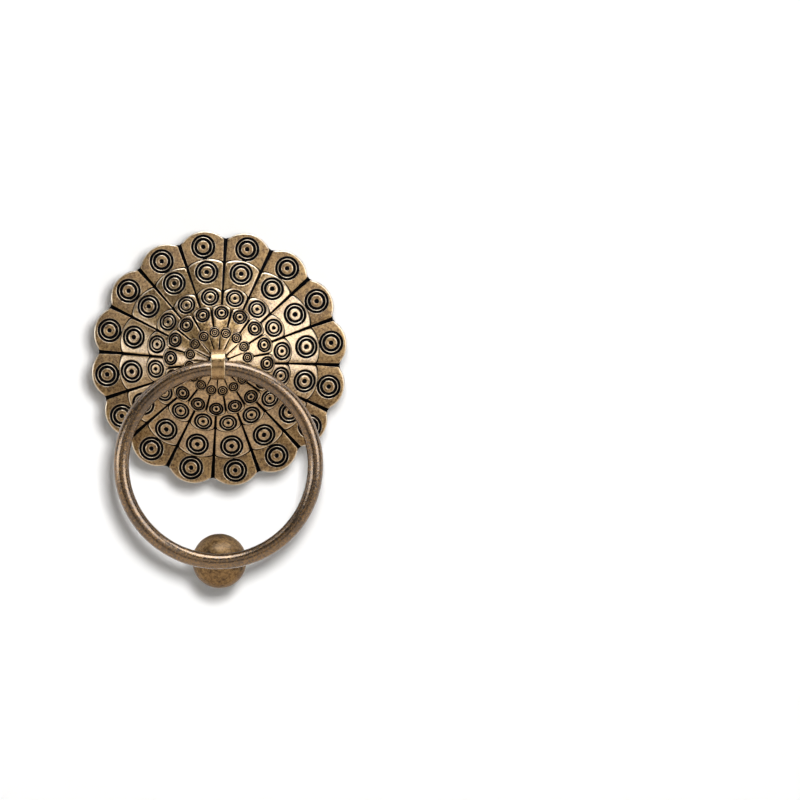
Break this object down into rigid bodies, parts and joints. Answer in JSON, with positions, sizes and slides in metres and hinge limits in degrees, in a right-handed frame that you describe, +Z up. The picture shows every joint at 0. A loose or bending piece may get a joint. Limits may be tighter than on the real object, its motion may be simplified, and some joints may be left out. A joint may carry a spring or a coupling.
{
  "type": "ring pull handle",
  "caption": "Domed petal-pattern brass backplate with a hanging pull ring in a split-pin eye, and a round strike knob for the door below it.",
  "frame": {"origin": "centre of the backplate, on the plane of its back, which is the door's front face", "axes": "+X to the right as the handle is faced, +Y into the door, +Z up; the front faces -Y"},
  "size_m": [0.098, 0.0608, 0.1376],
  "materials": {
    "plate_brass": "antiqued, dark in the relief and rubbed bright on the high places",
    "ring_brass": "antiqued, satin",
    "pin_brass": "satin",
    "knob_brass": "antiqued, mottled"
  },
  "bodies": {
    "mounting": {"backplate": "plate_brass", "split_pin": "pin_brass", "strike_knob": "knob_brass"},
    "ring": {"pull_ring": "ring_brass"}
  },
  "joints": [
    {"name": "ring_swing", "type": "hinge", "parent": "mounting", "child": "ring", "pos_m": [0, -0.02508, -0.0017], "axis": [-1, 0, 0], "range_deg": [-6.2, 196]}
  ]
}
